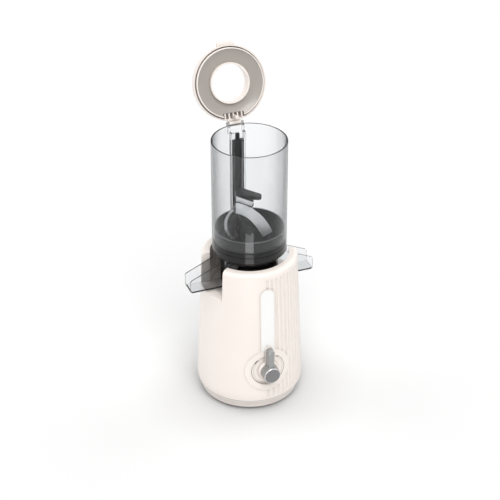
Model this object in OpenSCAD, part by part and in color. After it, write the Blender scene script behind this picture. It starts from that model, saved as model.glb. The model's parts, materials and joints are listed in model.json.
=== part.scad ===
// Slow juicer with a wide feed cup, shown with its lid open.
// Millimetres, +Z up, front towards -Y, origin on the screw's axis at the floor.

/* [Housing] */
// Outer radius of the housing where it is widest, near the floor
housing_low_r = 88; // [86:1:94]
// Outer radius of the housing just under its rounded rim
housing_top_r = 78; // [77:1:81]
// Height of the rim's crest above the floor
housing_top = 262; // [259:1:264]
// Height of the housing's lower edge
housing_bottom = 15; // [14:1:18]
// Wall of the moulded housing
housing_wall = 3; // [2:0.5:4]
// Radius of the well that takes the bowl
well_r = 64; // [62.5:0.5:66]
// Height of the well's floor, on its upper face
well_floor = 201; // [198:1:203]
// Number of vertical flutes, from the front round the right side
flute_count = 19; // [6:1:26]
// Angle from one flute to the next
flute_pitch = 6; // [5:0.5:8]
// Depth of a flute
flute_depth = 1.5; // [0.5:0.1:1.8]

/* [Notches] */
// Height of the notches' floors above the well's floor
notch_rise = 7; // [4:1:9]
// Angle that each notch reaches past its spout, so that the bowl can turn
notch_angle = 36; // [34:1:44]

/* [Front panel] */
// Height of the dial's centre
dial_z = 82; // [74:1:92]
// Outer radius of the raised ring round the dial
ring_r = 38.5; // [36:0.5:44]
// Radius of the recessed dial
dial_r = 28.5; // [26:0.5:33]
// Width of the raised strip above the dial
strip_w = 25; // [20:1:30]
// Height of the strip's rounded top
strip_top = 234; // [200:1:240]
// How far the strip and ring stand out from the housing
raise = 1.4; // [0.8:0.1:2]

/* [Knob] */
// Radius of the knob's hub
knob_r = 14.5; // [11:0.1:15]
// Distance of the knob's face from the dial
knob_reach = 22; // [20:1:26]
// Length of the lever from the hub's axis
lever_len = 46; // [32:1:48]
// Width of the lever
lever_w = 11.5; // [9:0.5:16]

/* [Base] */
// Height of the base cover's underside
cover_bottom = 5; // [4:0.5:6]
// Radius of the base cover at its underside
cover_low_r = 81.5; // [78:0.5:83]
// Radius of each rubber foot
foot_r = 11; // [8:0.5:12]
// Height of the cord's entry at the back
cord_z = 50; // [48:1:62]
// Radius of the bore for the cord
cord_r = 3.6; // [3:0.1:4.2]

/* [Motor] */
// Outer radius of the motor's can
motor_r = 36; // [32:1:40]
// Height of the motor's can
motor_h = 76; // [70:1:80]
// Radius of the armature
armature_r = 24; // [20:0.5:26]
// Radius of the motor's shaft
rotor_r = 4; // [3.5:0.25:5]

/* [Gears] */
// Module of the fast pair
fast_module = 1.2; // [1:0.1:1.2]
// Teeth of the pinion on the motor's shaft
pinion_teeth = 12; // [12:2:14]
// Teeth of the idler's large wheel
idler_teeth = 48; // [42:2:48]
// Teeth of the idler's pinion
idler_pinion_teeth = 14; // [12:2:16]
// Teeth of the wheel on the drive shaft
output_teeth = 34; // [32:2:36]
// Face width of the fast pair
fast_face = 10; // [8:0.5:10]
// Face width of the slow pair
slow_face = 15; // [12:0.5:16]
// Radius of the idler's fixed pin
idler_pin_r = 3; // [2.5:0.25:3.5]
// Radius of the drive shaft
drive_r = 7; // [6:0.25:8]
// Width across the flats of the drive shaft's hexagon
hex_af = 11; // [9:0.25:11.5]

/* [Bowl] */
// Outer radius of the feed cup and of the bowl's upper part
cup_r = 60; // [59:0.5:61]
// Height of the bowl's step that carries the cup
bowl_step = 290; // [286:1:294]
// Height of the bowl's collar inside the cup
collar_h = 19; // [14:1:22]
// Wall of the bowl
bowl_wall = 2.8; // [2:0.1:3.2]
// Outer radius of the bowl's lower part, inside the well
bowl_low_r = 47; // [46.5:0.5:48]
// Gap between the well's floor and the bowl's underside
bowl_lift = 5; // [4:0.5:6]

/* [Spouts] */
// Distance of a spout's tip from the axis
spout_reach = 106; // [98:1:112]
// Outer width of a spout
spout_w = 28; // [24:1:29]
// Height of a spout's side at its tip
spout_tip_h = 23; // [19:1:27]
// Height of a spout's side at the housing
spout_root_h = 41; // [37:1:44]
// Wall of a spout
spout_wall = 2; // [1.5:0.1:2.5]

/* [Strainer] */
// Inner radius of the strainer
strainer_r = 41; // [40:0.5:41]
// Height of the strainer
strainer_h = 54; // [50:1:56]
// Wall of the strainer
strainer_wall = 1.6; // [1.2:0.1:1.8]
// Number of columns of slits round the strainer
slit_count = 30; // [12:2:36]

/* [Screw] */
// Turn of the screw at rest, seen from above
screw_turn = -21; // [-45:1:45]
// Radius of the screw's pressing ribs
rib_r = 40.2; // [38:0.1:40.5]
// Radius of the screw's core inside the strainer
core_r = 31; // [28:0.5:33]
// Height of the tip of the screw's arm
arm_top = 362; // [350:1:368]
// Number of pressing ribs
rib_count = 5; // [3:1:6]

/* [Cup] */
// Height of the cup's rim
cup_top = 461; // [440:1:480]
// Wall of the cup
cup_wall = 2.5; // [2:0.1:3]
// Width of the interlock rod
rod_w = 20; // [16:1:22]
// Thickness of the interlock rod
rod_t = 4.5; // [3.5:0.5:5]
// How far the closing lid pushes the rod down
rod_travel = 4; // [3:0.5:4]

/* [Lid] */
// Angle of the open lid past the closed one
lid_open = 108; // [95:1:112]
// Radius of the round opening in the lid
lid_hole_r = 30; // [24:1:33]
// Height of the lid at the opening
lid_h = 17; // [14:1:20]
// Distance of the hinge pin from the cup's wall
hinge_gap = 4.2; // [4:0.1:5]
// Radius of the hinge pin
pin_r = 1.6; // [1.2:0.1:1.8]

/* [Clearances] */
// Radial clearance of a shaft in its hole
run_gap = 0.08; // [0.03:0.01:0.1]
// Gap between pieces that pass or touch
gap = 0.3; // [0.2:0.05:0.4]
// Gap between pieces that are seated for good
seat = 0.05; // [0.02:0.01:0.1]

/* [Hidden] */

$fn = 96;
deep = 400;

cream = [0.957, 0.918, 0.894];
white = [0.98, 0.98, 0.97];
beige = [0.80, 0.76, 0.73];
smoke = [0.24, 0.25, 0.26];
clear = [0.82, 0.85, 0.88, 0.35];
silver = [0.75, 0.76, 0.78];
iron = [0.45, 0.46, 0.48];
dark = [0.16, 0.16, 0.17];
copper = [0.72, 0.43, 0.23];
nylon = [0.90, 0.88, 0.80];

// The housing's outline: a rounded foot, a straight taper and a round rim.
widest_z = housing_bottom + 20;
rim_r = (housing_top_r - well_r) / 2;
rim_z = housing_top - rim_r;
rim_mid = (housing_top_r + well_r) / 2;
foot_edge_r = housing_low_r - 4;
inner_top = well_floor - housing_wall;
notch_floor = well_floor + notch_rise;
bowl_bottom = well_floor + bowl_lift;

// The front panel.
dial_face = round(10 * (housing_r(dial_z) - 2.4)) / 10;
dial_t = 2;
boss_depth = 9;
strip_lip = 1.6;
lever_t = 12;
collar_t = 5.5;

// The control board, on four bosses of the housing's back wall.
board_y = housing_low_r - 22;
board_w = 52;
board_h = 50;
board_t = 1.6;
board_low = 42;
board_boss_x = board_w / 2 - 4;
board_boss_z = [board_low + 4, board_low + 36];

// The gear train. Both pairs share one centre distance.
pressure = 25;
mesh_slack = 0.12;
centres = fast_module * (pinion_teeth + idler_teeth) / 2;
slow_module = 2 * centres / (idler_pinion_teeth + output_teeth);
idler_dir = 90;

// The stack of drive parts, from the top down.
post_len = 24;
box_wall = 3;
box_top = inner_top - post_len;
slow_z = box_top - box_wall - 1.5 - slow_face;
fast_z = slow_z - 2 - fast_face;
plate_z = fast_z - 2 - box_wall;
box_r = centres + fast_module * (idler_teeth / 2 + 1) + 3.5;
post_r = 41;
// Inner radius of the gearbox round the output wheel.
out_r = slow_module * (output_teeth / 2 + 1) + 2.5;
// Places of the gearbox's posts, as angles clear of the idler.
posts = [for (a = [62, 130, 230, 298]) idler_dir + a];
can_top = plate_z - seat;
can_bottom = can_top - motor_h;
cap_t = 8;
can_roof = 3;
bearing_r = 9;
bearing_h = 6;
shaft_bearing_r = 13;
shaft_bearing_h = 8;
hub_h = 20;

// The bowl.
cup_inner = cup_r - cup_wall;
collar_r = cup_inner - gap;
bowl_inner = collar_r - bowl_wall;
collar_top = bowl_step + collar_h;
shoulder_drop = 20;
shoulder_z = bowl_step - shoulder_drop;
waist_z = shoulder_z - shoulder_drop;
sleeve_r = 10;
sleeve_top = bowl_bottom + 16;
gasket_h = 1.2;

// The screw.
screw_bottom = bowl_bottom + bowl_wall + 1.2;
hollow_r = sleeve_r + bowl_wall + 1.2;
hollow_top = sleeve_top + 1.5;
socket_r = 10.5;
socket_h = 24;
hex_bottom = hollow_top - 1;
hex_top = hollow_top + socket_h - 4;
strainer_bottom = bowl_bottom + bowl_wall + seat;
strainer_top = strainer_bottom + strainer_h;
cone_top = strainer_top + 37;

// The cup, its rod and its hinge.
cup_bottom = bowl_step + gasket_h + 2 * seat;
rod_y = cup_inner - 2 - rod_t;
rod_top = cup_top - 24;
nub_top = cup_top - 13;
rod_bottom = housing_top - 3.5;
rail_t = 2;
rail_top = cup_top - 10;
rail_x = rod_w / 2 + gap;
hinge_y = cup_r + hinge_gap;
hinge_z = cup_top - 1;
knuckle_r = pin_r + 2;
knuckle_w = 20;
ear_t = 3.5;
lid_under = cup_top + gap;
lid_r = cup_r;
liner_cut_y = rod_y - 4;
tower_top = rod_bottom - 6.5;
plunger_w = 8;

function polar(r, a) = [r * cos(a), r * sin(a)];

// Outer radius of the housing's straight taper at height z.
function housing_r(z) = housing_low_r
    - (housing_low_r - housing_top_r) * (z - widest_z) / (rim_z - widest_z);

// The cord's entry, in a collar behind the wall.
cord_wall = housing_r(cord_z);
collar_in = 9;
gland_r = 8;
gland_sleeve = 11;

// Angle of the involute at radius r, for base radius b, in degrees.
function involute_angle(b, r) = let (a = acos(min(1, b / r))) tan(a) * 180 / PI - a;

// Outline of a spur gear of module m with n teeth, a tooth centred on +X.
function gear_outline(m, n) =
    let (rp = m * n / 2, rb = rp * cos(pressure), ra = rp + m, rr = rp - 1.25 * m,
        start = max(rb, rr) + 0.01, steps = 4,
        half = 90 / n - mesh_slack / rp * 90 / PI + involute_angle(rb, rp))
    [for (i = [0 : n - 1]) let (c = i * 360 / n) each [
        polar(rr, c - half),
        for (k = [0 : steps]) let (r = start + (ra - start) * k / steps)
            polar(r, c - half + involute_angle(rb, r)),
        for (k = [steps : -1 : 0]) let (r = start + (ra - start) * k / steps)
            polar(r, c + half - involute_angle(rb, r)),
        polar(rr, c + half)]];

// Closed skin through a list of rings, each with the same number of points,
// which run anticlockwise as seen from the last ring.
module loft(rings) {
    n = len(rings[0]);
    last = len(rings) - 1;
    skin = [for (i = [0 : last - 1], j = [0 : n - 1])
        let (a = i * n + j, b = i * n + (j + 1) % n)
        each [[a, b + n, b], [a, a + n, b + n]]];
    low = [[for (j = [0 : n - 1]) j]];
    high = [[for (j = [n - 1 : -1 : 0]) last * n + j]];
    polyhedron(points = [for (r = rings) each r], faces = concat(skin, low, high));
}

module ring(r1, r2, h) {
    difference() {
        cylinder(r = r2, h = h);
        translate([0, 0, -1]) cylinder(r = r1, h = h + 2);
    }
}

module each_at(count, r, start = 0) {
    for (i = [0 : count - 1]) rotate(start + i * 360 / count) translate([r, 0, 0]) children();
}

module at_posts() {
    for (a = posts) rotate(a) translate([post_r, 0, 0]) children();
}

// A cylinder that points to the front, from the face at y = -far.
module to_front(r, near, far) {
    translate([0, -near, 0]) rotate([90, 0, 0]) cylinder(r = r, h = far - near);
}

// A cylinder that points to the back, from y = near to y = far, at height z.
module to_back(z, r, near, far) {
    translate([0, near, z]) rotate([-90, 0, 0]) cylinder(r = r, h = far - near);
}

module cap_screw(r, head_r, len) {
    head_h = 2.2;
    socket = 1.2;
    cylinder(r = r, h = len);
    difference() {
        translate([0, 0, -head_h]) cylinder(r = head_r, h = head_h);
        translate([0, 0, -head_h - 1]) cylinder(r = head_r * 0.45, h = socket + 1, $fn = 6);
    }
}

// Housing outline, drawn from the foot to the rim's crest, moved out by d.
function housing_points(d) = [
    [foot_edge_r + d, housing_bottom],
    for (a = [0 : 10 : 90]) [foot_edge_r + d + (housing_low_r - foot_edge_r) * sin(a),
        widest_z - (widest_z - housing_bottom) * 0.9 * cos(a)],
    [housing_top_r + d, rim_z]];

module housing_solid(d = 0) {
    rotate_extrude() union() {
        polygon(concat([[0, housing_bottom]], housing_points(d), [[0, rim_z]]));
        translate([rim_mid, rim_z]) circle(r = rim_r + d);
        translate([0, rim_z - 1]) square([rim_mid, rim_r + 1 + d]);
    }
}

// Hollow of the housing below the well and between its two walls.
module housing_hollow() {
    w = housing_wall;
    rotate_extrude() polygon([
        [0, housing_bottom - 1], [foot_edge_r - w, housing_bottom - 1],
        [foot_edge_r - w, housing_bottom + 4], [housing_low_r - w, widest_z],
        [housing_top_r - w, rim_z - 2], [well_r + w, rim_z - 2],
        [well_r + w, inner_top], [0, inner_top]]);
}

module notch_outline(m) {
    far = housing_low_r + 20;
    near = well_r - 14;
    side = spout_w / 2 + 2 + m;
    edge = m * [-sin(notch_angle), cos(notch_angle)];
    polygon([[near, -side], [far, -side], polar(far, notch_angle) + edge,
        polar(near, notch_angle) + edge]);
}

module notch_cut(m) {
    for (a = [0, 180]) rotate(a) translate([0, 0, notch_floor - m])
        linear_extrude(deep) notch_outline(m);
}

module flutes() {
    tilt = atan((housing_low_r - housing_top_r) / (rim_z - widest_z));
    groove_r = 2.6;
    low = housing_bottom + 5;
    high = rim_z - 5;
    for (i = [0 : flute_count - 1]) rotate(-90 + i * flute_pitch)
        translate([housing_r(low) + groove_r - flute_depth, 0, low]) rotate([0, -tilt, 0])
            cylinder(r = groove_r, h = high - low, $fn = 24);
}

module strip_outline(w, top) {
    translate([-w / 2, dial_z]) square([w, top - w / 2 - dial_z]);
    translate([0, top - w / 2]) circle(d = w);
}

// Prism of a front outline, drawn in x and z, reaching in from the front.
module front_prism(near) {
    translate([0, -near, 0]) rotate([90, 0, 0]) linear_extrude(housing_low_r + 30 - near) children();
}

module dial_hole(r, near) {
    translate([0, 0, dial_z]) to_front(r, near, housing_low_r + 30);
}

module tower_box(m) {
    w = rod_w + 4;
    translate([-w / 2 + m, rod_y - 2 + m, well_floor - 1])
        cube([w - 2 * m, well_r + 1 - rod_y + 2 - 2 * m, tower_top - well_floor + 1 - m]);
}

module housing() {
    color(cream) difference() {
        union() {
            difference() {
                housing_solid();
                housing_hollow();
                flutes();
                translate([0, 0, well_floor]) cylinder(r = well_r, h = deep);
            }
            // Closed sides of the two notches.
            intersection() {
                housing_solid();
                notch_cut(housing_wall);
                translate([0, 0, notch_floor - housing_wall]) ring(well_r, deep, deep);
            }
            // Raised strip and ring, and the boss behind the dial.
            difference() {
                intersection() {
                    housing_solid(raise);
                    union() {
                        front_prism(0) strip_outline(strip_w, strip_top);
                        dial_hole(ring_r, 0);
                    }
                }
                housing_solid(-1);
            }
            intersection() {
                housing_solid();
                dial_hole(ring_r, dial_face - boss_depth);
            }
            // Posts for the gearbox and bosses for the base cover's screws.
            at_posts() translate([0, 0, box_top + seat])
                cylinder(r = 5, h = post_len + 1);
            intersection() {
                housing_solid();
                each_at(4, foot_edge_r - 7, 45) translate([0, 0, housing_bottom + 3 + gap])
                    cylinder(r = 6, h = 24);
            }
            // Bosses for the control board.
            intersection() {
                housing_solid(-1);
                for (s = [-1, 1], z = board_boss_z) translate([s * board_boss_x, 0, 0])
                    to_back(z, 3, board_y + board_t + seat, housing_low_r);
            }
            // Tower at the back of the well, for the safety switch.
            intersection() {
                tower_box(0);
                cylinder(r = well_r + 1, h = deep);
            }
            // Collar round the cord's entry, from inside the wall.
            to_back(cord_z, gland_r + 4, cord_wall - collar_in, cord_wall - housing_wall / 2);
        }
        notch_cut(0);
        // Recess for the dial, and its shaft hole.
        dial_hole(dial_r, dial_face - dial_t - seat);
        dial_hole(5, 0);
        // Pocket for the bare strip.
        intersection() {
            front_prism(housing_top_r - 4) strip_outline(strip_w - 2 * strip_lip, strip_top - strip_lip);
            difference() {
                housing_solid(raise + 1);
                housing_solid(0.3);
                translate([0, 0, -1]) cylinder(r = deep, h = dial_z + ring_r + 1);
            }
        }
        // Hole for the drive shaft and its seal.
        translate([0, 0, inner_top - 1]) cylinder(r = drive_r + 5, h = housing_wall + 2);
        // Screw holes.
        at_posts() translate([0, 0, box_top - 1]) cylinder(r = 1.6, h = 14);
        each_at(4, foot_edge_r - 7, 45) translate([0, 0, housing_bottom])
            cylinder(r = 1.8, h = 16);
        // Room for the safety switch and its plunger.
        translate([0, 0, 2]) tower_room();
        translate([-plunger_w / 2 - gap, rod_y - gap, tower_top - 10])
            cube([plunger_w + 2 * gap, rod_t + 2 * gap, 20]);
        // Entry for the mains cord.
        to_back(cord_z, gland_r, cord_wall - 20, cord_wall + 20);
    }
}

// Inside of the tower, open to the space under the well.
module tower_room() {
    w = rod_w;
    translate([-w / 2, rod_y, inner_top - 3])
        cube([w, well_r - rod_y - 4, tower_top - inner_top - 2]);
}

module panel_strip() {
    color(white) intersection() {
        front_prism(housing_top_r - 4)
            strip_outline(strip_w - 2 * strip_lip - 2 * seat, strip_top - strip_lip - seat);
        difference() {
            housing_solid(raise - 0.1);
            housing_solid(0.3 + seat);
            translate([0, 0, -1]) cylinder(r = deep, h = dial_z + ring_r + 1 + seat);
        }
    }
}

module dial_plate() {
    color(cream) translate([0, 0, dial_z]) difference() {
        to_front(dial_r - seat, dial_face - dial_t, dial_face);
        to_front(5, 0, deep);
        // A shallow ring groove near the rim.
        difference() {
            to_front(dial_r - 3, dial_face - 0.4, deep);
            to_front(dial_r - 4, 0, deep);
        }
    }
}

module base_cover() {
    t = 3;
    low = cover_low_r - 3;
    top = housing_bottom - gap;
    color(cream) difference() {
        rotate_extrude() polygon([
            [0, cover_bottom], [low, cover_bottom],
            for (a = [0 : 15 : 90]) [low + 3 * sin(a), cover_bottom + 3 - 3 * cos(a)],
            [foot_edge_r - 1.5, top],
            [foot_edge_r - housing_wall - gap, top],
            [foot_edge_r - housing_wall - gap, top + 3],
            [foot_edge_r - housing_wall - 2 - gap, top + 3],
            [cover_low_r - t - 3, cover_bottom + t], [0, cover_bottom + t]]);
        // Screw holes, seats for the feet and cooling slots.
        each_at(4, foot_edge_r - 7, 45) cylinder(r = 2, h = 40);
        each_at(4, foot_edge_r - 7, 45) cylinder(r = 4, h = cover_bottom + 2.4 + seat);
        each_at(4, foot_edge_r - 22, 45) translate([0, 0, -1]) cylinder(r = foot_r, h = cover_bottom + 2.2);
        for (k = [0 : 3], a = [-24 : 8 : 24]) rotate(90 * k + a)
            translate([20, -1.2, 0]) cube([24, 2.4, 40]);
    }
}

module feet() {
    color(dark) each_at(4, foot_edge_r - 22, 45) rotate_extrude() polygon([
        [0, 0], [foot_r - 2.2, 0], [foot_r - 0.6, 1.4], [foot_r - seat, cover_bottom],
        [foot_r - seat, cover_bottom + 1.2 - seat], [0, cover_bottom + 1.2 - seat]]);
}

module base_screws() {
    color(iron) each_at(4, foot_edge_r - 7, 45) translate([0, 0, cover_bottom + 2.4])
        cap_screw(1.8, 3.6, 20);
}

// The gland lies through the collar, with a flange at each end. Its bore grips the
// cord in the short sleeve outside and is a little wider inside the collar.
module cord_gland() {
    inner = cord_wall - collar_in - gap;
    outer = cord_wall + 0.8;
    flange = 2;
    sleeve = gland_sleeve;
    color(dark) difference() {
        union() {
            translate([0, outer, cord_z]) rotate([-90, 0, 0]) rotate_extrude() polygon([
                [0, 0], [gland_r + 2.5, 0], [gland_r + 2.5, flange - 0.6],
                [gland_r + 1.9, flange], [cord_r + 3.2, flange], [cord_r + 2.4, sleeve - 0.8],
                [cord_r + 1.6, sleeve], [0, sleeve]]);
            to_back(cord_z, gland_r - seat, inner - 1, outer + 1);
            to_back(cord_z, gland_r + 2, inner - flange, inner);
        }
        to_back(cord_z, cord_r, inner, outer + 2 * sleeve);
        to_back(cord_z, cord_r + 0.8, inner - 10, outer + 1);
    }
}

module switch_body() {
    back = dial_face - boss_depth - seat;
    color(dark) translate([0, 0, dial_z]) difference() {
        union() {
            translate([-14, -back, -14]) cube([28, 16, 28]);
            for (x = [-9, 0, 9]) translate([x - 2.4, -back + 16 - 1, -12]) cube([4.8, 8, 1]);
        }
        to_front(3 + run_gap, 0, deep);
    }
}

module control_board() {
    relay = [14, 14, 18];
    capacitor_r = 5;
    capacitor_h = 12;
    terminal = [4, 9, 4];
    top = board_low + board_h;
    color([0.12, 0.35, 0.22]) {
        translate([-board_w / 2, board_y, board_low]) cube([board_w, board_t, board_h]);
        translate([-board_w / 2 + 6, board_y - relay[1], board_low + 8]) cube(relay);
        for (x = [2, 14]) translate([x, 0, 0])
            to_back(top - 14, capacitor_r, board_y - capacitor_h, board_y);
        for (x = [-20, 18]) translate([x, board_y + board_t, top - 8]) cube(terminal);
    }
}

module motor_can() {
    color(iron) translate([0, 0, can_bottom]) difference() {
        cylinder(r = motor_r, h = motor_h);
        translate([0, 0, -1]) cylinder(r = motor_r - 2, h = motor_h - can_roof + 1);
        cylinder(r = bearing_r, h = deep);
        each_at(4, motor_r - 8, 0) cylinder(r = 2.2, h = deep);
        each_at(6, motor_r, 15) translate([0, 0, 14]) cube([10, 8, 9], center = true);
    }
    color(iron) translate([0, 0, can_top - 2 - bearing_h]) ring(bearing_r, bearing_r + 2, bearing_h + 0.5);
}

module motor_end_cap() {
    color(dark) translate([0, 0, can_bottom - cap_t]) difference() {
        union() {
            cylinder(r = motor_r, h = cap_t - seat);
            ring(bearing_r, bearing_r + 3, cap_t + 4);
            // Brush holders.
            for (s = [-1, 1]) translate([s * 18 - 7, -4, cap_t - 1]) cube([14, 8, 9]);
        }
        translate([0, 0, 3]) difference() {
            ring(bearing_r + 4, motor_r - 4, cap_t);
            cube([2 * motor_r, 12, 40], center = true);
        }
        translate([0, 0, 2]) cylinder(r = bearing_r, h = deep);
        cylinder(r = rotor_r + 1.5, h = deep, center = true);
        each_at(8, 23, 22.5) cylinder(r = 4, h = deep, center = true);
        each_at(2, motor_r - 4, 45) cylinder(r = 1.6, h = deep, center = true);
    }
}

module motor_magnets() {
    h = motor_h - 30;
    slot_w = 18;
    color(dark) translate([0, 0, can_bottom + 20]) difference() {
        ring(armature_r + 0.8, motor_r - 2 - seat, h);
        for (a = [90, 270]) rotate(a) translate([0, -slot_w / 2, -1])
            cube([motor_r + 1, slot_w, h + 2]);
    }
}

module motor_screws() {
    color(silver) each_at(4, motor_r - 8, 0) translate([0, 0, can_top - can_roof - seat])
        cap_screw(2.1, 3.6, can_roof + box_wall);
}

module rotor_shaft() {
    color(silver) translate([0, 0, can_bottom - cap_t - 17])
        cylinder(r = rotor_r, h = fast_z + fast_face - (can_bottom - cap_t - 17));
}

module armature() {
    h = motor_h - 34;
    slots = 12;
    slot_w = 3;
    color(copper) translate([0, 0, can_bottom + 22]) difference() {
        union() {
            cylinder(r = armature_r, h = h);
            translate([0, 0, -5]) cylinder(r = armature_r - 5, h = h + 9);
        }
        translate([0, 0, -6]) cylinder(r = rotor_r + seat / 2, h = deep);
        each_at(slots, armature_r, 0) translate([0, 0, h / 2]) cube([10, slot_w, h + 2], center = true);
    }
}

module commutator() {
    color(copper) translate([0, 0, can_bottom + 4]) difference() {
        cylinder(r = 11, h = 11);
        translate([0, 0, -1]) cylinder(r = rotor_r + seat / 2, h = 20);
        each_at(12, 11, 15) cube([2, 0.8, 40], center = true);
    }
}

module motor_bearings() {
    color(silver) {
        translate([0, 0, can_bottom - cap_t + 2 + seat])
            ring(rotor_r + run_gap, bearing_r - seat, bearing_h);
        translate([0, 0, can_top - 2 - bearing_h])
            ring(rotor_r + run_gap, bearing_r - seat, bearing_h + 1.9);
    }
}

module cooling_fan() {
    blades = 9;
    blade = [24, 1.6, 9];
    fan_r = motor_r - 3;
    h = 10;
    color(nylon) translate([0, 0, can_bottom - cap_t - 15]) difference() {
        union() {
            cylinder(r = 8, h = h);
            translate([0, 0, h - 2]) cylinder(r = fan_r, h = 2);
            for (i = [0 : blades - 1]) rotate(i * 360 / blades) translate([5, 0, 0]) rotate(24)
                cube(blade);
        }
        translate([0, 0, -1]) cylinder(r = rotor_r + seat / 2, h = 40);
    }
}

module spur(m, n, h) {
    linear_extrude(h) polygon(gear_outline(m, n));
}

module motor_pinion() {
    color(silver) translate([0, 0, fast_z]) difference() {
        rotate(idler_dir) spur(fast_module, pinion_teeth, fast_face);
        translate([0, 0, -1]) cylinder(r = rotor_r + seat / 2, h = 40);
    }
}

module idler_gear() {
    color(nylon) translate([polar(centres, idler_dir)[0], polar(centres, idler_dir)[1], 0])
        difference() {
            union() {
                translate([0, 0, fast_z]) rotate(idler_dir + 180 / idler_teeth)
                    difference() {
                        spur(fast_module, idler_teeth, fast_face);
                        translate([0, 0, fast_face - 3]) ring(13, 24, 4);
                        translate([0, 0, -1]) ring(13, 24, 4);
                    }
                translate([0, 0, fast_z + fast_face - 1]) rotate(idler_dir)
                    spur(slow_module, idler_pinion_teeth, slow_z + slow_face - fast_z - fast_face + 1);
            }
            translate([0, 0, fast_z - 1]) cylinder(r = idler_pin_r + run_gap, h = 60);
        }
}

module idler_pin() {
    color(silver) translate([polar(centres, idler_dir)[0], polar(centres, idler_dir)[1], plate_z])
        cylinder(r = idler_pin_r, h = box_top - plate_z - 1);
}

module output_gear() {
    color(nylon) translate([0, 0, slow_z]) difference() {
        rotate(idler_dir + 180 / output_teeth) spur(slow_module, output_teeth, slow_face);
        translate([0, 0, -1]) cylinder(r = drive_r + seat / 2, h = 40);
        for (z = [-1, slow_face - 4]) translate([0, 0, z]) ring(11, 20, 5);
        each_at(6, 15.5) cylinder(r = 3, h = 60);
    }
}

module gearbox_plate() {
    id = polar(centres, idler_dir);
    color(iron) translate([0, 0, plate_z]) difference() {
        linear_extrude(box_wall) {
            circle(r = box_r - centres + 12);
            translate(id) circle(r = box_r - centres);
            at_posts() circle(r = 7);
        }
        translate([0, 0, -1]) cylinder(r = bearing_r, h = 20);
        translate([id[0], id[1], -1]) cylinder(r = idler_pin_r + seat / 2, h = 20);
        each_at(4, motor_r - 8, 0) translate([0, 0, -1]) cylinder(r = 2.1 + seat, h = 20);
        at_posts() translate([0, 0, -1]) cylinder(r = 1.9, h = 20);
    }
}

// Outline of the gearbox: round the output wheel and the idler.
module box_outline(d) {
    id = polar(centres, idler_dir);
    circle(r = out_r + d);
    translate(id) circle(r = fast_module * (idler_teeth / 2 + 1) + 1.5 + d);
}

module gearbox_cover() {
    id = polar(centres, idler_dir);
    low = plate_z + box_wall + seat;
    color(iron) difference() {
        union() {
            translate([0, 0, low]) linear_extrude(box_top - low) box_outline(box_wall);
            at_posts() translate([0, 0, low]) cylinder(r = 6, h = box_top - low);
            for (a = posts) rotate(a) translate([out_r + 1, -4, low]) cube([post_r - out_r - 1, 8, box_top - low]);
            cylinder_at(box_top - 1, shaft_bearing_r + 3, hub_h + 1);
        }
        translate([0, 0, low - 1]) linear_extrude(box_top - box_wall - low + 1) box_outline(0);
        cylinder_at(box_top - box_wall - 1, shaft_bearing_r, hub_h + 1 + box_wall);
        cylinder_at(box_top + hub_h - 3, shaft_bearing_r - 3, 10);
        translate([id[0], id[1], low]) cylinder(r = idler_pin_r + seat / 2, h = box_top - low - 1 + seat);
        at_posts() translate([0, 0, low - 1]) cylinder(r = 1.9, h = 60);
    }
}

module cylinder_at(z, r, h) {
    translate([0, 0, z]) cylinder(r = r, h = h);
}

module gearbox_screws() {
    color(silver) at_posts() translate([0, 0, plate_z - seat])
        cap_screw(1.6, 3.4, box_top - plate_z + 11);
}

module drive_shaft() {
    color(silver) {
        cylinder_at(slow_z - 1, drive_r, hex_bottom - slow_z + 1);
        translate([0, 0, hex_bottom - 0.01]) rotate(screw_turn)
            cylinder(r = hex_af / 2 / cos(30), h = hex_top - hex_bottom, $fn = 6);
    }
}

module shaft_bearings() {
    color(silver) for (z = [box_top - box_wall, box_top + hub_h - 3 - shaft_bearing_h - seat])
        translate([0, 0, z]) ring(drive_r + run_gap, shaft_bearing_r - seat, shaft_bearing_h);
}

module shaft_seal() {
    color(dark) translate([0, 0, inner_top]) {
        ring(drive_r + run_gap, drive_r + 5 - seat, housing_wall + 1);
        translate([0, 0, housing_wall - 0.01 + seat]) ring(drive_r + run_gap, drive_r + 7, 1.5);
    }
}

module microswitch() {
    w = rod_w - 2;
    color(dark) difference() {
        translate([-w / 2, rod_y + seat, tower_top - 26]) cube([w, well_r - rod_y - 5, 12]);
        for (x = [-5, 5]) translate([x, rod_y - 1, tower_top - 20]) rotate([-90, 0, 0])
            cylinder(r = 1.2, h = 40);
    }
}

module switch_plunger() {
    color([0.75, 0.12, 0.1]) translate([-plunger_w / 2, rod_y + gap, tower_top - 9])
        cube([plunger_w, rod_t - gap, rod_bottom - tower_top + 9 - gap]);
}

// The knob's collar turns with it on the flat dial.
module knob_collar() {
    color(cream) translate([0, -dial_face - gap, dial_z]) rotate([90, 0, 0]) difference() {
        union() {
            rotate_extrude() polygon([[0, 0], [knob_r + 3, 0], [knob_r + 2.6, 2.5],
                for (a = [0 : 15 : 90]) [knob_r + 0.6 + 2 * cos(a), collar_t - 2 + 2 * sin(a)],
                [0, collar_t]]);
            // Plate behind the lever.
            translate([0, 0, collar_t - 2.3]) linear_extrude(2.2) hull() {
                translate([0, lever_len - lever_w / 2]) circle(d = lever_w + 2);
                translate([0, knob_r]) square([lever_w + 2, 2], center = true);
            }
        }
        translate([0, 0, -1]) cylinder(r = 4, h = 10);
    }
}

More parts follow.
